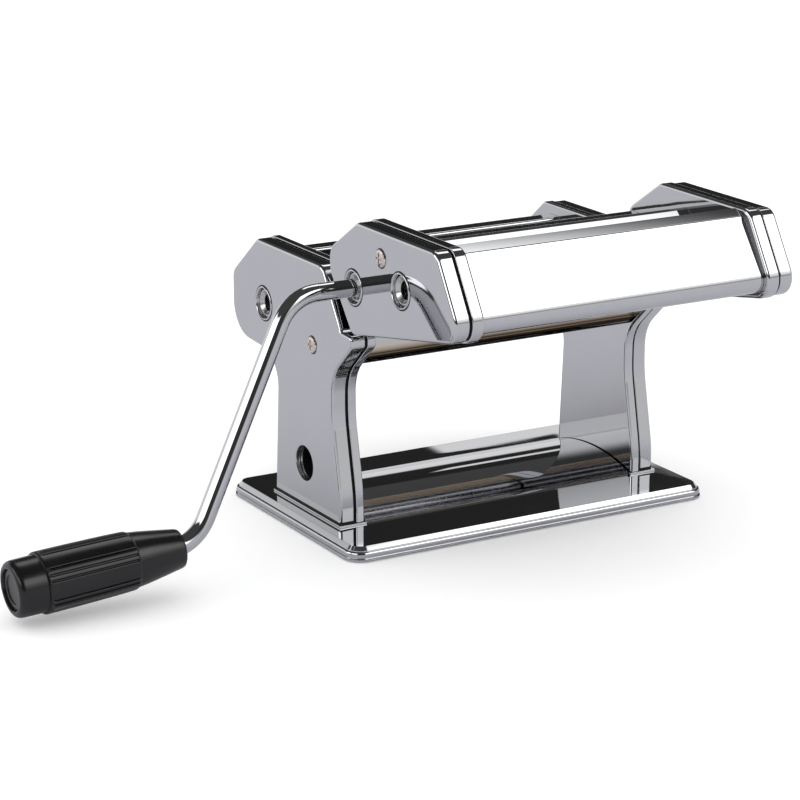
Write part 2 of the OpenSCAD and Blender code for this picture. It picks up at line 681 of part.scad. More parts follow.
module crank_rod() color(chrome) in_crank_plane() {
    a = crank_path[0];
    b = crank_path[1];
    c = crank_path[2];
    first = b + unit(a - b) * (bend_r * tan(arm_turn(a, b, c) / 2));
    second = c + grip_dir * (bend_r * tan(arm_turn(b, c, rod_end) / 2));
    overlap = 0.5;
    rod(a, first);
    swept_rod(bent([first + unit(a - b) * overlap, concat(b, [bend_r]), concat(c, [bend_r]),
                    second + grip_dir * overlap]), rod_d / 2 - 0.01);
    rod(second, rod_end);
    intersection() {
        translate([crank_in - 0.5, 0, 0]) rotate([0, 90, 0])
            cylinder(r = rod_d / 2 - 0.25, h = tongue_l);
        rotate([crank_turn, 0, 0]) translate([crank_in - 1, -rod_d, -tongue_t / 2])
            cube([tongue_l + 2, 2 * rod_d, tongue_t]);
    }
}

// Places a part whose axis is Z on the grip's axis, with z = 0 at the grip's inner end
module on_grip_axis() {
    start = crank_path[2] + grip_dir * grip_start;
    in_crank_plane() translate([start[0], 0, start[1]])
        rotate([0, -90 - grip_droop, 0]) children();
}

washer_z = grip_l - 7;
plug_z = grip_l - 3.4;
grip_profile = [[6.6, 0], [8.6, 0.8], [9.3, 3], [10.5, 10], [11.7, 18], [12.6, 24], [13.3, 25.5],
                [13.7, 42], [grip_r, 66.5], [13.9, 68], [12.9, 68.6], [12.7, 78.8], [11.9, 80.6],
                [11.2, 81.5]];
grip_grooves = 24;

module grip_washer() color(steel) on_grip_axis() difference() {
    translate([0, 0, washer_z - 1.2]) cylinder(r = 6.6, h = 1.7);
    translate([0, 0, washer_z - 2]) cylinder(r = rod_d / 2, h = 2);
}

module grip() color(black) on_grip_axis() difference() {
    rotate_extrude() polygon(concat(
        [[0, 0]], [for (p = grip_profile) [p[0] * grip_r / 14, p[1] * grip_l / 81.5]], [[0, grip_l]]));
    translate([0, 0, -1]) cylinder(r = rod_d / 2 + fit, h = big);
    translate([0, 0, -0.1]) cylinder(r = rod_d / 2 + 0.8, h = 6);
    translate([0, 0, washer_z - 1.6]) cylinder(r = 7.4, h = 20);
    translate([0, 0, plug_z]) cylinder(r = 9.2, h = 20);
    for (i = [0:grip_grooves - 1]) if (i % 4 != 3) rotate([0, 0, i * 360 / grip_grooves])
        translate([13.1, -0.5, 25]) cube([3, 1, 43]);
}

module grip_plug() color(black) on_grip_axis() difference() {
    translate([0, 0, plug_z]) cylinder(r = 9.15, h = 2.2);
    translate([0, 0, plug_z + 1.5]) cylinder(r = 6.5, h = 2);
}

// ---- Assembly ------------------------------------------------------------------------------

base_plate();
base_pad();
base_screws();
foot_blocks();
foot_gaskets();
left_outer_shell();
left_inner_shell();
right_outer_shell();
right_inner_shell();
rear_cover();
front_cover();
tie_rods();
side_screws();
clamp_sleeve();
head_socket_ring();
head_bush();
roller_scrapers();
gap_dial();
cutter_rails();
drive_roller();
drive_gear();
bearing_blocks();
idle_roller();
idle_gear();
gap_knob();
gap_cam();
cutter_left_outer_cap();
cutter_left_inner_cap();
cutter_right_outer_cap();
cutter_right_inner_cap();
cutter_front_cover();
cutter_rear_cover();
cutter_divider();
cutter_tie_rod();
cutter_screws();
cutter_combs();
cutter_socket_rings();
cutter_bushes();
cutter_brackets();
narrow_drive_roller();
narrow_drive_gear();
narrow_idle_roller();
narrow_idle_gear();
wide_drive_roller();
wide_drive_gear();
wide_idle_roller();
wide_idle_gear();
crank_rod();
grip_washer();
grip();
grip_plug();
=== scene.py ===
"""Looks of the hand-cranked dough sheeter: chrome, steel, black plastic, studio and camera. Metres."""
import json
import math

import bmesh
import bpy
from mathutils import Matrix, Vector


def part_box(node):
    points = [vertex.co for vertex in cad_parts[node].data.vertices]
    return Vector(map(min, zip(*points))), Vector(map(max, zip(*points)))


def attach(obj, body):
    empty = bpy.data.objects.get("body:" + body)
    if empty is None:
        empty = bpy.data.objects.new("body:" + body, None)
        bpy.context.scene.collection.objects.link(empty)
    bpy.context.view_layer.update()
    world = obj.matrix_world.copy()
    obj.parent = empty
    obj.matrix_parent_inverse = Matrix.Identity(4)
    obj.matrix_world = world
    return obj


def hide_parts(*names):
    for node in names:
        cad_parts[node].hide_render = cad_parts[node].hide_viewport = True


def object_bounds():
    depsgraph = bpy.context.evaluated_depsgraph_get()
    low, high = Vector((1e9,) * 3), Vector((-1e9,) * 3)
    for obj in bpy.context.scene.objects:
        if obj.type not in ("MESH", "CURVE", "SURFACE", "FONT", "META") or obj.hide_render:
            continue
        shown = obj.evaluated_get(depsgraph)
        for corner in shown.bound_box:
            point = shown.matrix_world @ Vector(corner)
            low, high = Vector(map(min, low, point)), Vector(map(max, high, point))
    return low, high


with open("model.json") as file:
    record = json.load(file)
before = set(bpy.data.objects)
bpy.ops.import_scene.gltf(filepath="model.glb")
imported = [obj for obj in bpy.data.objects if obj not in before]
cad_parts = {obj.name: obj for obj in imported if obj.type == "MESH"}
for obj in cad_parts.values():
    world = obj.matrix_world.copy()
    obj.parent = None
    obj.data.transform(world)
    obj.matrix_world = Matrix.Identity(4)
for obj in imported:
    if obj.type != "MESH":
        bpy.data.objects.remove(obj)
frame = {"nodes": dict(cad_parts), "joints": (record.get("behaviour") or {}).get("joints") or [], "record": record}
NODES = frame["nodes"]
JOINTS = {j["name"]: j for j in frame["joints"]}
SLOT_OF = {s["node"]: s["material_slot"] for s in frame["record"]["subparts"]}
BODY_OF = {n: b for b, ns in frame["record"]["behaviour"]["bodies"].items() for n in ns}
CAD_BOX = [list(v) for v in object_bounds()]
MM = 0.001
FOOT_GAP = 1.3 * MM


# ---- Materials ------------------------------------------------------------------------------

class Shader:
    """A node material with a Principled shader and object-space coordinates."""

    def __init__(self, name):
        self.material = bpy.data.materials.new(name)
        self.material.use_nodes = True
        self.tree = self.material.node_tree
        self.surface = self.tree.nodes["Principled BSDF"]
        self.coords = self.tree.nodes.new("ShaderNodeTexCoord").outputs["Object"]

    def node(self, kind, **settings):
        made = self.tree.nodes.new(kind)
        for key, value in settings.items():
            setattr(made, key, value)
        return made

    def link(self, source, target):
        self.tree.links.new(source, target)

    def stretched(self, scale):
        mapping = self.node("ShaderNodeMapping")
        mapping.inputs["Scale"].default_value = scale
        self.link(self.coords, mapping.inputs["Vector"])
        return mapping.outputs["Vector"]

    def noise(self, scale, detail=2.0, rough=0.5, vector=None):
        made = self.node("ShaderNodeTexNoise")
        made.inputs["Scale"].default_value = scale
        made.inputs["Detail"].default_value = detail
        made.inputs["Roughness"].default_value = rough
        self.link(vector or self.coords, made.inputs["Vector"])
        return made.outputs["Fac"]

    def spread(self, value, low, high, from_low=0.3, from_high=0.7):
        made = self.node("ShaderNodeMapRange")
        made.inputs["From Min"].default_value = from_low
        made.inputs["From Max"].default_value = from_high
        made.inputs["To Min"].default_value = low
        made.inputs["To Max"].default_value = high
        self.link(value, made.inputs["Value"])
        return made.outputs["Result"]

    def blend(self, value, low, high):
        made = self.node("ShaderNodeMix", data_type="RGBA")
        made.inputs["A"].default_value = (*low, 1)
        made.inputs["B"].default_value = (*high, 1)
        self.link(value, made.inputs["Factor"])
        return made.outputs["Result"]

    def bump(self, height, distance, strength=1.0, after=None):
        made = self.node("ShaderNodeBump")
        made.inputs["Distance"].default_value = distance
        made.inputs["Strength"].default_value = strength
        self.link(height, made.inputs["Height"])
        if after:
            self.link(after, made.inputs["Normal"])
        return made.outputs["Normal"]

    def finish(self, colour, roughness, normal, metallic=0.0, **sockets):
        self.link(colour, self.surface.inputs["Base Color"])
        self.link(roughness, self.surface.inputs["Roughness"])
        self.link(normal, self.surface.inputs["Normal"])
        self.surface.inputs["Metallic"].default_value = metallic
        for name, value in sockets.items():
            self.surface.inputs[name.replace("_", " ")].default_value = value
        return self.material


def chrome():
    s = Shader("polished_chrome")
    haze = s.noise(38, 4, 0.6)
    wave = s.bump(s.noise(14, 1), 0.00001)
    return s.finish(s.blend(haze, (0.56, 0.565, 0.58), (0.60, 0.605, 0.62)),
                    s.spread(haze, 0.018, 0.05), wave, metallic=1.0)


def chrome_painted_reflections():
    """Slightly dull chrome with painted reflections: black, brown and tan bands painted by height, running along
    the rollers with a noisy wobble.
    """
    s = Shader("streaked_chrome")
    axes = s.node("ShaderNodeSeparateXYZ")
    s.link(s.coords, axes.inputs[0])
    stretched_noise = s.noise(1, 0, 0.5, s.stretched((2, 350, 350)))
    wobble = s.node("ShaderNodeMath", operation="MULTIPLY_ADD")
    wobble.inputs[1].default_value = 0.0007
    s.link(stretched_noise, wobble.inputs[0])
    s.link(axes.outputs["Z"], wobble.inputs[2])
    height = s.spread(wobble.outputs[0], 0, 1, 0.0835, 0.0985)
    # Painted reflection: the ramp's stops paint mirrored dark, brown and tan stripes by height.
    bands = s.node("ShaderNodeValToRGB")
    black, brown, line = (0.012, 0.009, 0.007), (0.035, 0.025, 0.017), (0.28, 0.21, 0.14)
    stops = [(0.0, line), (0.06, brown), (0.13, black), (0.155, line), (0.18, black), (0.31, brown),
             (0.34, line), (0.37, brown), (0.46, (0.42, 0.34, 0.26)), (0.60, (0.62, 0.57, 0.50)),
             (0.80, (0.58, 0.585, 0.60))]
    ramp = bands.color_ramp
    while len(ramp.elements) < len(stops):
        ramp.elements.new(0.5)
    for element, (position, colour) in zip(ramp.elements, stops):
        element.position, element.color = position, (*colour, 1)
    s.link(height, bands.inputs["Fac"])
    return s.finish(bands.outputs["Color"], s.spread(stretched_noise, 0.03, 0.08), s.bump(stretched_noise, 0.000004),
                    metallic=1.0)


def turned_steel():
    s = Shader("turned_steel")
    rings = s.noise(1, 3, 0.6, s.stretched((2600, 60, 60)))
    tint = s.noise(55, 3)
    return s.finish(s.blend(tint, (0.53, 0.53, 0.54), (0.59, 0.59, 0.60)), s.spread(rings, 0.16, 0.30),
                    s.bump(rings, 0.000003), metallic=1.0)


def screw_steel():
    s = Shader("passivated_steel")
    tint = s.noise(900, 3)
    return s.finish(s.blend(tint, (0.60, 0.53, 0.48), (0.78, 0.72, 0.67)), s.spread(tint, 0.12, 0.24),
                    s.bump(s.noise(2500, 2), 0.00002), metallic=1.0)


def black_plastic():
    s = Shader("black_plastic")
    grain = s.noise(2600, 3, 0.6)
    patches = s.noise(60, 3)
    return s.finish(s.blend(patches, (0.003, 0.003, 0.0035), (0.006, 0.006, 0.0065)),
                    s.spread(patches, 0.20, 0.27), s.bump(grain, 0.000008), Specular_IOR_Level=0.5)


def nylon():
    s = Shader("nylon")
    cloud = s.noise(120, 3)
    return s.finish(s.blend(cloud, (0.74, 0.73, 0.69), (0.82, 0.81, 0.77)), s.spread(cloud, 0.40, 0.55),
                    s.bump(s.noise(1800, 2), 0.00002))


def rubber():
    s = Shader("rubber")
    grain = s.noise(1400, 4, 0.7)
    return s.finish(s.blend(grain, (0.018, 0.018, 0.019), (0.032, 0.032, 0.034)), s.spread(grain, 0.7, 0.9),
                    s.bump(grain, 0.0001))


# Painted shade: a flat near-black material laid in the shell seams, round the socket rings and screws, inside the
# clamp hole and under the stands' shells.
def dark_seam():
    s = Shader("dark_seam")
    shade_speckle = s.noise(600, 3)
    return s.finish(s.blend(shade_speckle, (0.010, 0.010, 0.011), (0.020, 0.020, 0.021)), s.spread(shade_speckle, 0.45, 0.65),
                    s.bump(shade_speckle, 0.00002), metallic=0.6)


# The seam material paints shade where shade falls.
MATERIALS = {"chrome": chrome(), "steel": turned_steel(), "screw_steel": screw_steel(),
             "black_plastic": black_plastic(), "nylon": nylon(), "rubber": rubber(), "seam": dark_seam(),
             "belly": chrome_painted_reflections()}


# ---- Mesh helpers ---------------------------------------------------------------------------

def piece(name, bm, stands_for, sharp=math.radians(35)):
    """Makes a mesh object that rides with, and stands for, one CAD node."""
    mesh = bpy.data.meshes.new(name)
    bm.to_mesh(mesh)
    bm.free()
    mesh.polygons.foreach_set("use_smooth", [True] * len(mesh.polygons))
    mesh.set_sharp_from_angle(angle=sharp)
    obj = bpy.data.objects.new(name, mesh)
    bpy.context.scene.collection.objects.link(obj)
    weighted = obj.modifiers.new("weighted", "WEIGHTED_NORMAL")
    weighted.keep_sharp = True
    weighted.weight = 80
    repaint(obj, SLOT_OF[stands_for])
    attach(obj, BODY_OF[stands_for])
    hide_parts(stands_for)
    return obj


def repaint(obj, material):
    obj.data.materials.clear()
    obj.data.materials.append(MATERIALS[material])


def clean_copy(node):
    """The CAD node's mesh, welded and with its flat faces joined."""
    bm = bmesh.new()
    bm.from_mesh(NODES[node].data)
    bmesh.ops.remove_doubles(bm, verts=bm.verts, dist=0.000002)
    bmesh.ops.dissolve_limit(bm, angle_limit=math.radians(0.3), verts=bm.verts, edges=bm.edges)
    bm.normal_update()
    return bm


def plane_loops(node, x):
    """Closed loops of (y, z) points round the node's flat faces at x, the longest loop first."""
    bm = clean_copy(node)
    flat = {f for f in bm.faces if all(abs(v.co.x - x) < 0.00002 for v in f.verts)}
    steps = {}
    for face in flat:
        for loop in face.loops:
            if sum(f in flat for f in loop.edge.link_faces) == 1:
                steps[loop.vert.index] = loop.link_loop_next.vert.index
    bm.verts.ensure_lookup_table()
    loops = []
    while steps:
        start, at = next(iter(steps.items()))
        ring = [start]
        del steps[start]
        while at != start:
            ring.append(at)
            at = steps.pop(at)
        loops.append([(bm.verts[i].co.y, bm.verts[i].co.z) for i in ring])
    bm.free()
    return sorted(loops, key=lambda ring: -sum(math.dist(a, b) for a, b in zip(ring, ring[1:])))


def anticlockwise(ring):
    area = sum(a[0] * b[1] - b[0] * a[1] for a, b in zip(ring, ring[1:] + ring[:1]))
    return ring if area > 0 else ring[::-1]


def moved_out(ring, distance, foot):
    """The outline moved outwards; points on its foot slide along it, a gap above the gasket."""
    out = []
    for i, q in enumerate(ring):
        a = (Vector(q) - Vector(ring[i - 1])).normalized()
        b = (Vector(ring[(i + 1) % len(ring)]) - Vector(q)).normalized()
        normals = Vector((a.y, -a.x)) + Vector((b.y, -b.x))
        move = normals * distance / (1 + a.dot(b))
        out.append((q[0] + move.x, q[1] + (FOOT_GAP if q[1] < foot else move.y)))
    return out


def add_ring(bm, points, x):
    return [bm.verts.new((x, y, z)) for y, z in points]


def bridge(bm, a, b):
    for i in range(len(a)):
        n = (i + 1) % len(a)
        bm.faces.new((a[i], a[n], b[n], b[i]))


def ring_edges(bm, ring):
    return [bm.edges.get((a, ring[i - 1])) or bm.edges.new((a, ring[i - 1])) for i, a in enumerate(ring)]


def quarter_round(radius, steps):
    """(depth, offset) pairs from the face into the wall."""
    angles = [math.pi / 2 * k / steps for k in range(steps + 1)]
    return [(radius * (1 - math.cos(a)), -radius * (1 - math.sin(a))) for a in angles]


def foot_level(node):
    """Height under which an outline's points lie on the stand's foot; the cutter has no foot."""
    return -1 if "cutter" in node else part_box(node)[0].z + 0.05 * MM


def pressed_shell(node, face_x, inwards, section, wall):
    """A cup lofted from the CAD node's outline; section is (depth, offset) from the face to the rim."""
    outline, *holes = plane_loops(node, face_x)
    outline = anticlockwise(outline)
    foot = foot_level(node)
    bm = bmesh.new()
    rings = [add_ring(bm, moved_out(outline, offset, foot), face_x + inwards * depth)
             for depth, offset in section]
    for a, b in zip(rings, rings[1:]):
        bridge(bm, a, b)
    edges = [ring_edges(bm, rings[0]), ring_edges(bm, rings[-1])]
    for hole in holes:
        near, far = add_ring(bm, hole, face_x), add_ring(bm, hole, face_x + inwards * wall)
        bridge(bm, near, far)
        edges[0] += ring_edges(bm, near)
        edges[1] += ring_edges(bm, far)
    for group in edges:
        bmesh.ops.triangle_fill(bm, use_beauty=True, edges=group)
    bmesh.ops.recalc_face_normals(bm, faces=bm.faces)
    return piece(node + "_pressed", bm, node, math.radians(40))


def painted_seam_band(node, face_x, inwards, start, end, offset):
    """A dark band painted as shade at the bottom of the seam between an outer and an inner shell."""
    outline = anticlockwise(plane_loops(node, face_x)[0])
    foot = foot_level(node)
    bm = bmesh.new()
    rings = [add_ring(bm, moved_out(outline, o, foot), face_x + inwards * d)
             for d, o in ((start, offset), (end, offset), (end, offset - MM), (start, offset - MM))]
    for a, b in zip(rings, rings[1:] + rings[:1]):
        bridge(bm, a, b)
    bmesh.ops.recalc_face_normals(bm, faces=bm.faces)
    repaint(piece(node + "_collar", bm, node), "seam")


def shell_pair(outer, inner, face_round, inner_round):
    """The outer and inner shell of one end, each with a rounded face and rim, and the seam between with painted
    shade at its bottom.
    """
    wall, collar_inset = 1.1 * MM, 1.7 * MM
    low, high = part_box(outer)
    side = 1 if high.x > 0 else -1
    face, rim = (high.x, low.x) if side > 0 else (low.x, high.x)
    in_low, in_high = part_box(inner)
    in_face = in_low.x if side > 0 else in_high.x
    depth = abs(face - rim)
    rim_round = [(-0.5, 0), (-0.33, -0.03), (-0.15, -0.13), (-0.04, -0.3), (0, -0.5), (0, -1),
                 (-0.1, -1.1)]
    section = quarter_round(face_round, 9) + [(depth + d * MM, o * MM) for d, o in rim_round]
    pressed_shell(outer, face, -side, section + [(wall + MM, -wall), (wall, -wall - 0.6 * MM)], wall)
    seam = 1.1 * MM
    length = abs(in_face - rim) - seam
    section = quarter_round(inner_round, 5) + [(length + d * MM, o * MM) for d, o in rim_round[:-1]]
    section += [(length, -collar_inset), (length - MM, -collar_inset), (length - MM, -wall),
                (wall, -wall), (wall - 0.01 * MM, -wall - 0.4 * MM)]
    pressed_shell(inner, in_face, side, section, wall)
    painted_seam_band(inner, in_face, side, length - 0.5 * MM, length + seam + 1.5 * MM, -collar_inset)


def lathe(profile, sides, shape=None):
    """Turned mesh along +Z from (radius, z) pairs; shape(radius, z, angle) may change a radius."""
    bm = bmesh.new()
    rings = []
    for radius, z in profile:
        if radius == 0:
            rings.append([bm.verts.new((0, 0, z))])
            continue
        ring = []
        for k in range(sides):
            angle = 2 * math.pi * k / sides
            r = shape(radius, z, angle) if shape else radius
            ring.append(bm.verts.new((r * math.cos(angle), r * math.sin(angle), z)))
        rings.append(ring)
    for low, high in zip(rings, rings[1:]):
        for k in range(sides):
            n = (k + 1) % sides
            corners = [low[k % len(low)], low[n % len(low)], high[n % len(high)], high[k % len(high)]]
            bm.faces.new(dict.fromkeys(corners))
    bmesh.ops.recalc_face_normals(bm, faces=bm.faces)
    return bm


def smooth_profile(points, step):
    """Catmull-Rom curve through (radius, z) points, about a step apart."""
    out = []
    for i in range(len(points) - 1):
        p = [Vector(points[min(max(j, 0), len(points) - 1)]) for j in (i - 1, i, i + 1, i + 2)]
        count = max(1, round((p[2] - p[1]).length / step))
        for k in range(count):
            t = k / count
            out.append(tuple(0.5 * (2 * p[1] + (p[2] - p[0]) * t
                                    + (2 * p[0] - 5 * p[1] + 4 * p[2] - p[3]) * t ** 2
                                    + (3 * p[1] - p[0] - 3 * p[2] + p[3]) * t ** 3)))
    return out + [tuple(points[-1])]


def smoothstep(low, high, value):
    t = min(max((value - low) / (high - low), 0), 1)
    return t * t * (3 - 2 * t)


def on_joint_axis(joint, bm):
    """Turns a lathe's +Z onto a hinge's axis, with z = 0 at the hinge's position."""
    turn = Vector(joint["axis"]).to_track_quat("Z", "Y").to_matrix().to_4x4()
    bmesh.ops.transform(bm, matrix=Matrix.Translation(joint["pos_m"]) @ turn, verts=bm.verts)


def soften(node, width, segments=2):
    """Bevels a CAD node's sharp edges and smooths the rest, leaving its mesh as it is."""
    obj = NODES[node]
    obj.data.polygons.foreach_set("use_smooth", [True] * len(obj.data.polygons))
    weld = obj.modifiers.new("weld", "WELD")
    weld.merge_threshold = 0.000002
    bevel = obj.modifiers.new("bevel", "BEVEL")
    bevel.limit_method = "ANGLE"
    bevel.angle_limit = math.radians(32)
    bevel.width = width
    bevel.segments = segments
    weighted = obj.modifiers.new("weighted", "WEIGHTED_NORMAL")
    weighted.weight = 100
    repaint(obj, SLOT_OF[node])


for name in NODES:
    soften(name, 0.15 * MM)
# The covers' undersides get chrome with painted reflection bands.
for name in ("front_cover", "rear_cover"):
    repaint(NODES[name], "belly")
shell_pair("left_outer_shell", "left_inner_shell", 1.8 * MM, 1.3 * MM)
shell_pair("right_outer_shell", "right_inner_shell", 1.8 * MM, 1.3 * MM)
shell_pair("cutter_left_outer_cap", "cutter_left_inner_cap", 1.8 * MM, 1.6 * MM)
shell_pair("cutter_right_outer_cap", "cutter_right_inner_cap", 1.8 * MM, 1.6 * MM)


# ---- Clamp hole, socket rings and feet ---------------------------------------------------------

def across_machine(bm, x, y, z, turn=-1):
    """Turns a lathe's +Z onto the X axis (turn=-1 points it away from the middle on the crank side)."""
    spin = Matrix.Rotation(turn * math.pi / 2, 4, "Y")
    bmesh.ops.transform(bm, matrix=Matrix.Translation((x, y, z)) @ spin, verts=bm.verts)


def clamp_lining():
    """The clamp hole's sleeve: bright with thread-like grooves at its mouth; deeper in, dark material painted as
    shade.
    """
    low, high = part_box("clamp_sleeve")
    y, z = (low.y + high.y) / 2, (low.z + high.z) / 2
    depth = high.x - low.x
    crest, root, grooved, pitch = 8.25, 8.5, 3.4, 0.7
    grooves = [((crest, root)[k % 2], k * pitch - grooved) for k in range(4)]
    mouth = [(root, -0.5), (8.7, -0.12), (9.0, 0.02), (9.35, -0.02)]
    bright = lathe([(r * MM, d * MM) for r, d in grooves + mouth], 96)
    across_machine(bright, low.x, y, z)
    repaint(piece("clamp_hole_lip", bright, "clamp_sleeve"), "steel")
    # Painted shade: the hole's deeper part is lined with the dark material.
    dark = lathe([(0, -depth), (root * MM, -depth), (crest * MM, -grooved * MM)], 64)
    across_machine(dark, low.x, y, z)
    repaint(piece("clamp_hole_inside", dark, "clamp_sleeve"), "seam")


def socket_ring(name, node, y, z, x_face):
    """A low bright ring with a flat dark ring of painted shade round it, and a funnel down to the journal."""
    funnel = [(6.68, -13), (6.68, -1.9), (6.9, -1.2), (7.2, -0.1)]
    rim = [(7.2, -0.1), (7.35, 0.3), (7.6, 0.52), (7.95, 0.52), (8.2, 0.36), (8.34, 0.1), (8.36, -0.3)]
    # groove is a flat dark ring laid on the face: painted shade round the socket ring.
    groove = [(8.3, 0.03), (8.85, 0.03), (8.95, 0)]
    parts = ("", rim, "chrome"), ("_funnel", funnel, "steel"), ("_groove", groove, "seam")
    for part, profile, material in parts:
        body = lathe([(r * MM, d * MM) for r, d in profile], 96)
        across_machine(body, x_face, y, z)
        repaint(piece(name + part, body, node), material)


def screw_shadow(screws, shell):
    """The dark ring round a face screw, laid on the shell that the screw holds."""
    low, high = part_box(screws)
    shell_low, shell_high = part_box(shell)
    radius = (high.z - low.z) / 2
    x, turn = (shell_low.x, -1) if shell_low.x < 0 else (shell_high.x, 1)
    section = [(-0.1, 0.02), (0.35, 0.02), (0.4, 0)]
    ring = lathe([(radius + r * MM, d * MM) for r, d in section], 48)
    across_machine(ring, x, (low.y + high.y) / 2, (low.z + high.z) / 2, turn)
    repaint(piece(shell + "_screw_ring", ring, shell), "seam")


def joint_place(name):
    return JOINTS[name]["pos_m"][1:]


def foot_shadow(outer, inner):
    """The dark line between a stand's pressed shells and its gasket."""
    inset = 0.4 * MM
    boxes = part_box(outer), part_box(inner)
    left, right = min(b[0].x for b in boxes), max(b[1].x for b in boxes)
    bottom = boxes[0][0].z
    outer_face = boxes[0][0].x if left < 0 else boxes[0][1].x
    foot = [y for y, z in plane_loops(outer, outer_face)[0] if z < foot_level(outer)]
    low = (left + inset, min(foot) + inset, bottom)
    high = (right - inset, max(foot) - inset, bottom + 1.3 * FOOT_GAP)
    bm = bmesh.new()
    bmesh.ops.create_cube(bm, size=1)
    for v in bm.verts:
        v.co = [(low, high)[v.co[i] > 0][i] for i in range(3)]
    repaint(piece(outer + "_foot_line", bm, outer), "seam")


foot_shadow("left_outer_shell", "left_inner_shell")
foot_shadow("right_outer_shell", "right_inner_shell")
for side in ("left", "right"):
    screw_shadow("side_screws", side + "_outer_shell")
    screw_shadow("cutter_screws", f"cutter_{side}_outer_cap")
clamp_lining()
HEAD_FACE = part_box("left_outer_shell")[0].x
CUTTER_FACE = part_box("cutter_left_outer_cap")[0].x
socket_ring("head_ring", "head_socket_ring", *joint_place("sheeter_spin"), HEAD_FACE)
socket_ring("narrow_ring", "cutter_socket_rings", *joint_place("crank_spin"), CUTTER_FACE)
socket_ring("wide_ring", "cutter_socket_rings", *joint_place("wide_spin"), CUTTER_FACE)


# ---- Crank grip -----------------------------------------------------------------------------

GRIP_LENGTH = 81.5 * MM
# Outlines in millimetres, (radius, distance from the rod's end of the grip)
GRIP_TIP = [(6.9, 0), (8.1, 0.1), (8.7, 0.5), (9.0, 1.3), (9.3, 3), (10.5, 10), (11.8, 18), (12.6, 24.2)]
GRIP_BODY = [(13.0, 24.6), (13.2, 25), (13.4, 28), (13.75, 42), (13.95, 58), (14.0, 67.6), (13.8, 68.1)]
GRIP_END = [(13.0, 68.4), (12.95, 69), (12.9, 73), (12.8, 78.6), (12.4, 80.2), (11.6, 81.1),
            (10.6, 81.45), (10.1, 81.5)]
RIB_GROUPS, GROOVES_IN_GROUP, GROOVE_PITCH = 6, 3, math.radians(11.5)
GROOVE_HALF, GROOVE_DEPTH = math.radians(2.9), 0.9 * MM
RIBS_FROM, RIBS_TO = 24.5 * MM, 67.6 * MM


def groove_at(angle):
    """0 on the smooth stretches and ribs, 1 at the bottom of a groove."""
    period = 2 * math.pi / RIB_GROUPS
    local = (angle % period) - period / 2
    nearest = min(abs(local - (k - (GROOVES_IN_GROUP - 1) / 2) * GROOVE_PITCH)
                  for k in range(GROOVES_IN_GROUP))
    return 1 - smoothstep(GROOVE_HALF * 0.45, GROOVE_HALF, nearest)


def grip():
    def ribbed(radius, z, angle):
        begun = smoothstep(RIBS_FROM - 0.5 * MM, RIBS_FROM + MM, z)
        ended = smoothstep(RIBS_TO - 1.6 * MM, RIBS_TO, z)
        return radius - GROOVE_DEPTH * groove_at(angle) * begun * (1 - ended)

    outside = [point for part in (GRIP_TIP, GRIP_BODY, GRIP_END)
               for point in smooth_profile([(r * MM, z * MM) for r, z in part], 0.8 * MM)]
    mouth = [(4.35 * MM, 6 * MM), (5.2 * MM, 5.8 * MM), (5.4 * MM, 1 * MM), (5.9 * MM, 0.2 * MM)]
    recess = [(9.6 * MM, GRIP_LENGTH - 0.1 * MM), (9.25 * MM, GRIP_LENGTH - 0.6 * MM),
              (9.2 * MM, GRIP_LENGTH - 3.3 * MM), (4.35 * MM, GRIP_LENGTH - 3.35 * MM)]
    body = lathe(mouth + outside + recess, 432, ribbed)
    on_joint_axis(JOINTS["grip_spin"], body)
    piece("ribbed_grip", body, "grip")
    top = GRIP_LENGTH - 1.1 * MM
    plug_shape = [(0, 2), (9.1, 2), (9.1, 0.5), (8.9, 0.15), (8.5, 0), (6.9, 0), (6.6, 0.12), (6.4, 0.5),
                  (6.0, 0.62), (0, 0.62)]
    plug = lathe([(r * MM, top - sunk * MM) for r, sunk in plug_shape], 96)
    on_joint_axis(JOINTS["grip_spin"], plug)
    piece("end_plug", plug, "grip_plug")


grip()


# ---- Gap knob -------------------------------------------------------------------------------

def knob():
    low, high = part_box("gap_knob")
    base = low.x - JOINTS["gap_turn"]["pos_m"][0]
    height = high.x - low.x
    scallops = 18

    def gripped(radius, z, angle):
        side = smoothstep(base + 4 * MM, base + 6 * MM, z) * smoothstep(8 * MM, 12 * MM, radius)
        return radius - 0.9 * MM * side * (0.5 - 0.5 * math.cos(angle * scallops)) ** 2

    shape = [(4.9, 0.1), (15.6, 0.1), (16.3, 0.4), (16.6, 1.1), (16.5, 1.7), (15.9, 2.3), (15.3, 3.2),
             (15.0, 4.6), (14.8, 8), (14.5, 12), (14.2, 15.4), (13.8, 16.5), (13.0, 17.1), (12.0, 17.2),
             (9.2, 17.0), (8.6, 16.4), (7.8, 16.0), (4, 15.9)]
    points = smooth_profile([(r * MM, base + z / 17.2 * height) for r, z in shape], 0.7 * MM)
    body = lathe(points + [(0, points[-1][1])], 288, gripped)
    on_joint_axis(JOINTS["gap_turn"], body)
    piece("scalloped_knob", body, "gap_knob")


knob()


# ---- Studio ---------------------------------------------------------------------------------

# What the mirrors see, in degrees: azimuth from +Y towards +X, elevation, softness, brightness
SURROUNDINGS = [
    ("low_horizon", (-185, 185), (-90, 5), 3, 0.64),
    ("behind_left", (-70, 2), (-30, 23), 6, 0.85),
    ("back_sill", (6, 100), (-5, 8.8), 0.8, 0.75),
    ("behind_right", (6, 100), (10, 23), 0.8, 0.02),
    ("far_sill", (30.6, 45), (15.2, 17.4), 0.12, 0.8),
    ("back_box", (14, 62), (44, 64), 3, 1.7),
    ("left_box", (-130, -52), (17, 37), 4, 2.2),
    ("around_camera", (-185, -133), (5, 34), 4, 0.04),
    ("front_low", (112, 178), (12, 28), 12, 1.3),
    ("front_strip", (116, 176), (25, 47), 3, 2.4)]
ROOM = 0.06


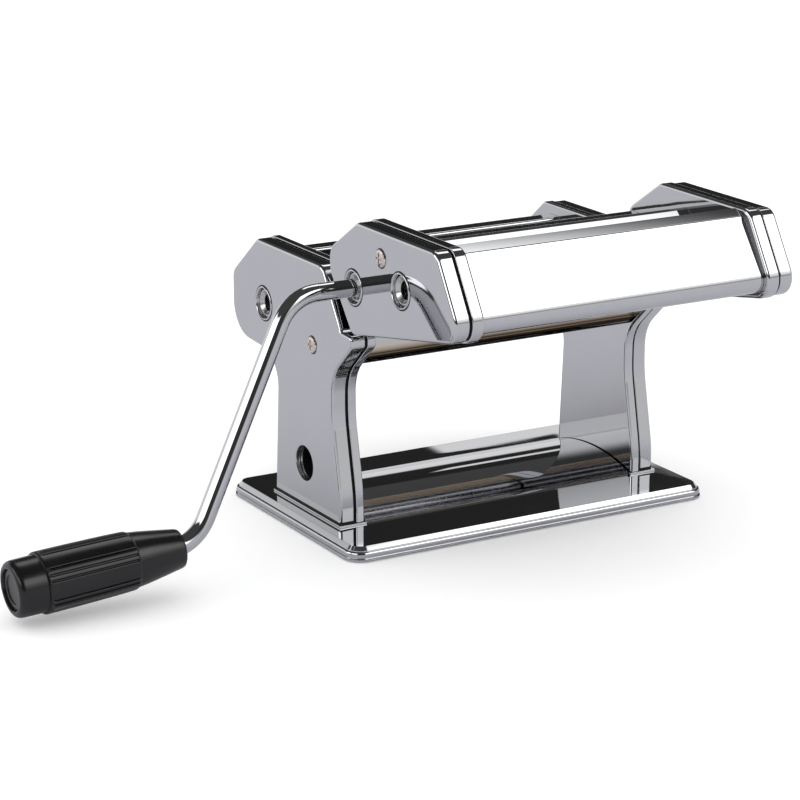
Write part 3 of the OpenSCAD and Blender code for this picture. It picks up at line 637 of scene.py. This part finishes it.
def studio():
    """White light from all round; mirrors see a dark room with soft boxes in it."""
    world = bpy.data.worlds.new("studio")
    bpy.context.scene.world = world
    world.use_nodes = True
    tree = world.node_tree
    tree.nodes.clear()
    new, link = tree.nodes.new, tree.links.new

    def maths(operation, a, b=None):
        made = new("ShaderNodeMath")
        made.operation = operation
        link(a, made.inputs[0])
        if b:
            link(b, made.inputs[1])
        return made.outputs[0]

    def ramp(value, low, high):
        made = new("ShaderNodeMapRange")
        made.interpolation_type = "SMOOTHSTEP"
        made.inputs["From Min"].default_value = math.radians(low)
        made.inputs["From Max"].default_value = math.radians(high)
        link(value, made.inputs["Value"])
        return made.outputs["Result"]

    def mixed(factor, a, b):
        made = new("ShaderNodeMix")
        link(factor, made.inputs["Factor"])
        for socket, value in (("A", a), ("B", b)):
            if isinstance(value, (int, float)):
                made.inputs[socket].default_value = value
            else:
                link(value, made.inputs[socket])
        return made.outputs["Result"]

    split = new("ShaderNodeSeparateXYZ")
    link(new("ShaderNodeTexCoord").outputs["Generated"], split.inputs[0])
    azimuth = maths("ARCTAN2", split.outputs["X"], split.outputs["Y"])
    elevation = maths("ARCSINE", split.outputs["Z"])
    seen = ROOM
    for _, (left, right), (low, high), soft, brightness in SURROUNDINGS:
        across = maths("MULTIPLY", ramp(azimuth, left - soft, left + soft),
                       ramp(azimuth, right + soft, right - soft))
        upwards = maths("MULTIPLY", ramp(elevation, low - soft, low + soft),
                        ramp(elevation, high + soft, high - soft))
        seen = mixed(maths("MULTIPLY", across, upwards), seen, brightness)
    path = new("ShaderNodeLightPath")
    strength = mixed(path.outputs["Is Glossy Ray"], 1.0, seen)
    background = new("ShaderNodeBackground")
    background.inputs["Color"].default_value = (1, 1, 1, 1)
    link(strength, background.inputs["Strength"])
    link(background.outputs[0], new("ShaderNodeOutputWorld").inputs["Surface"])


def floor():
    mesh = bpy.data.meshes.new("floor")
    bm = bmesh.new()
    bmesh.ops.create_circle(bm, cap_ends=True, segments=96, radius=9)
    bm.to_mesh(mesh)
    bm.free()
    obj = bpy.data.objects.new("floor", mesh)
    bpy.context.scene.collection.objects.link(obj)
    s = Shader("pale_floor")
    cloud = s.noise(3, 2)
    seen_directly = s.node("ShaderNodeLightPath").outputs["Is Camera Ray"]
    glow = s.spread(seen_directly, 0, 0.14, 0, 1)
    s.link(glow, s.surface.inputs["Emission Strength"])
    colour = s.blend(seen_directly, (0.62, 0.62, 0.66), (0.93, 0.93, 0.93))
    mesh.materials.append(s.finish(colour, s.spread(cloud, 0.8, 0.9), s.bump(cloud, 0.0001),
                                   Specular_IOR_Level=0.0))
    s.surface.inputs["Emission Color"].default_value = (1, 1, 1, 1)
    obj.location.z = CAD_BOX[0][2] - 0.0002


def camera():
    azimuth, elevation = math.radians(-29.99), math.radians(16.22)
    back = Vector((math.sin(azimuth) * math.cos(elevation), -math.cos(azimuth) * math.cos(elevation),
                   math.sin(elevation)))
    data = bpy.data.cameras.new("camera")
    data.sensor_width = 36
    data.lens = 126.38
    data.clip_start, data.clip_end = 0.05, 60
    obj = bpy.data.objects.new("camera", data)
    bpy.context.scene.collection.objects.link(obj)
    obj.location = (-0.6899, -1.1284, 0.4334)
    obj.rotation_mode = "QUATERNION"
    obj.rotation_quaternion = (-back).to_track_quat("-Z", "Y")
    bpy.context.scene.camera = obj


studio()
floor()
camera()
bpy.context.scene.view_settings.view_transform = "Standard"
bpy.context.scene.view_settings.exposure = 0.2
